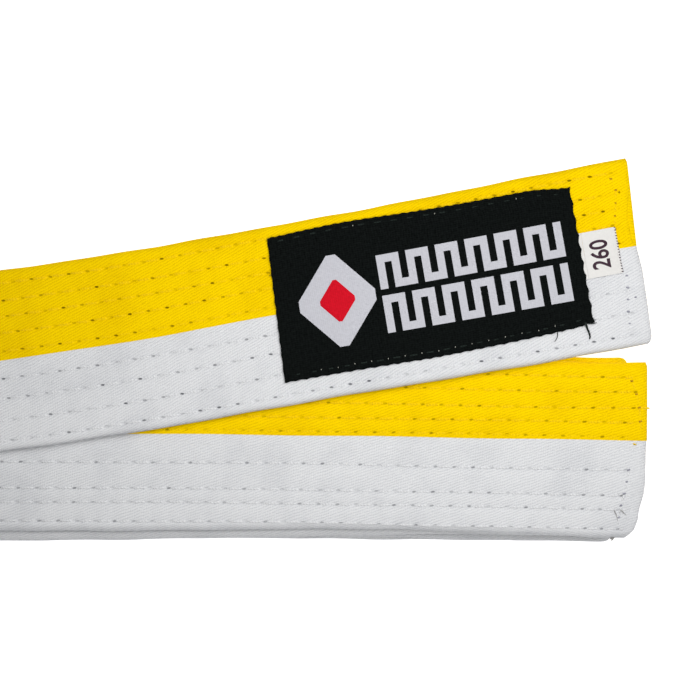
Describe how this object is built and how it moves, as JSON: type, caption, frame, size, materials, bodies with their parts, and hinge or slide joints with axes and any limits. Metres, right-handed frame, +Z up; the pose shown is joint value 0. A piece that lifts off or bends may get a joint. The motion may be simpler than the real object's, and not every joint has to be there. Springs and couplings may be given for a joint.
{
  "type": "martial arts belt",
  "caption": "Folded two-colour quilted martial arts belt with a sewn label and a size tag; the bundle and its labelled end fold open.",
  "frame": {"origin": "on the resting face under the folded bundle, at the middle of the belt's width", "axes": "+X along the folded bundle towards the two belt ends, +Y towards the yellow edge, +Z up through the layers"},
  "size_m": [0.3382, 0.083, 0.0292],
  "materials": {
    "yellow_cloth": "twill cotton",
    "white_cloth": "twill cotton",
    "core_cloth": "plain woven interlining",
    "yellow_thread": "twisted sewing thread",
    "white_thread": "twisted sewing thread",
    "label_cloth": "woven damask",
    "tag_ribbon": "satin ribbon"
  },
  "bodies": {
    "lower_runs": {"lower_yellow_cover": "yellow_cloth", "lower_white_cover": "white_cloth", "lower_front_ply": "core_cloth", "lower_back_ply": "core_cloth", "lower_yellow_thread": "yellow_thread", "lower_white_thread": "white_thread", "right_fold_yellow_cover": "yellow_cloth", "right_fold_white_cover": "white_cloth", "right_fold_core": "core_cloth"},
    "upper_runs": {"upper_yellow_cover": "yellow_cloth", "upper_white_cover": "white_cloth", "upper_front_ply": "core_cloth", "upper_back_ply": "core_cloth", "upper_yellow_thread": "yellow_thread", "upper_white_thread": "white_thread", "left_fold_yellow_cover": "yellow_cloth", "left_fold_white_cover": "white_cloth", "left_fold_core": "core_cloth", "plain_end_stitching": "white_thread"},
    "labelled_end": {"labelled_yellow_cover": "yellow_cloth", "labelled_white_cover": "white_cloth", "labelled_front_ply": "core_cloth", "labelled_back_ply": "core_cloth", "labelled_yellow_thread": "yellow_thread", "labelled_white_thread": "white_thread", "labelled_end_stitching": "white_thread", "label": "label_cloth", "label_thread": "label_cloth", "size_tag_root": "tag_ribbon"},
    "size_tag": {"size_tag": "tag_ribbon"}
  },
  "joints": [
    {"name": "bundle_opening", "type": "hinge", "parent": "lower_runs", "child": "upper_runs", "pos_m": [0.15, 0, 0.0142], "axis": [0, 1, 0], "range_deg": [0, 180], "deforming": ["right_fold_yellow_cover", "right_fold_white_cover", "right_fold_core"]},
    {"name": "labelled_end_lift", "type": "hinge", "parent": "upper_runs", "child": "labelled_end", "pos_m": [-0.1693, 0, 0.0214], "axis": [0, -1, 0], "range_deg": [0, 180], "deforming": ["left_fold_yellow_cover", "left_fold_white_cover", "left_fold_core"]},
    {"name": "size_tag_flip", "type": "hinge", "parent": "labelled_end", "child": "size_tag", "pos_m": [0.14702, 0.04216, 0.0286], "axis": [0.1793, -0.9838, 0], "range_deg": [0, 140]}
  ]
}
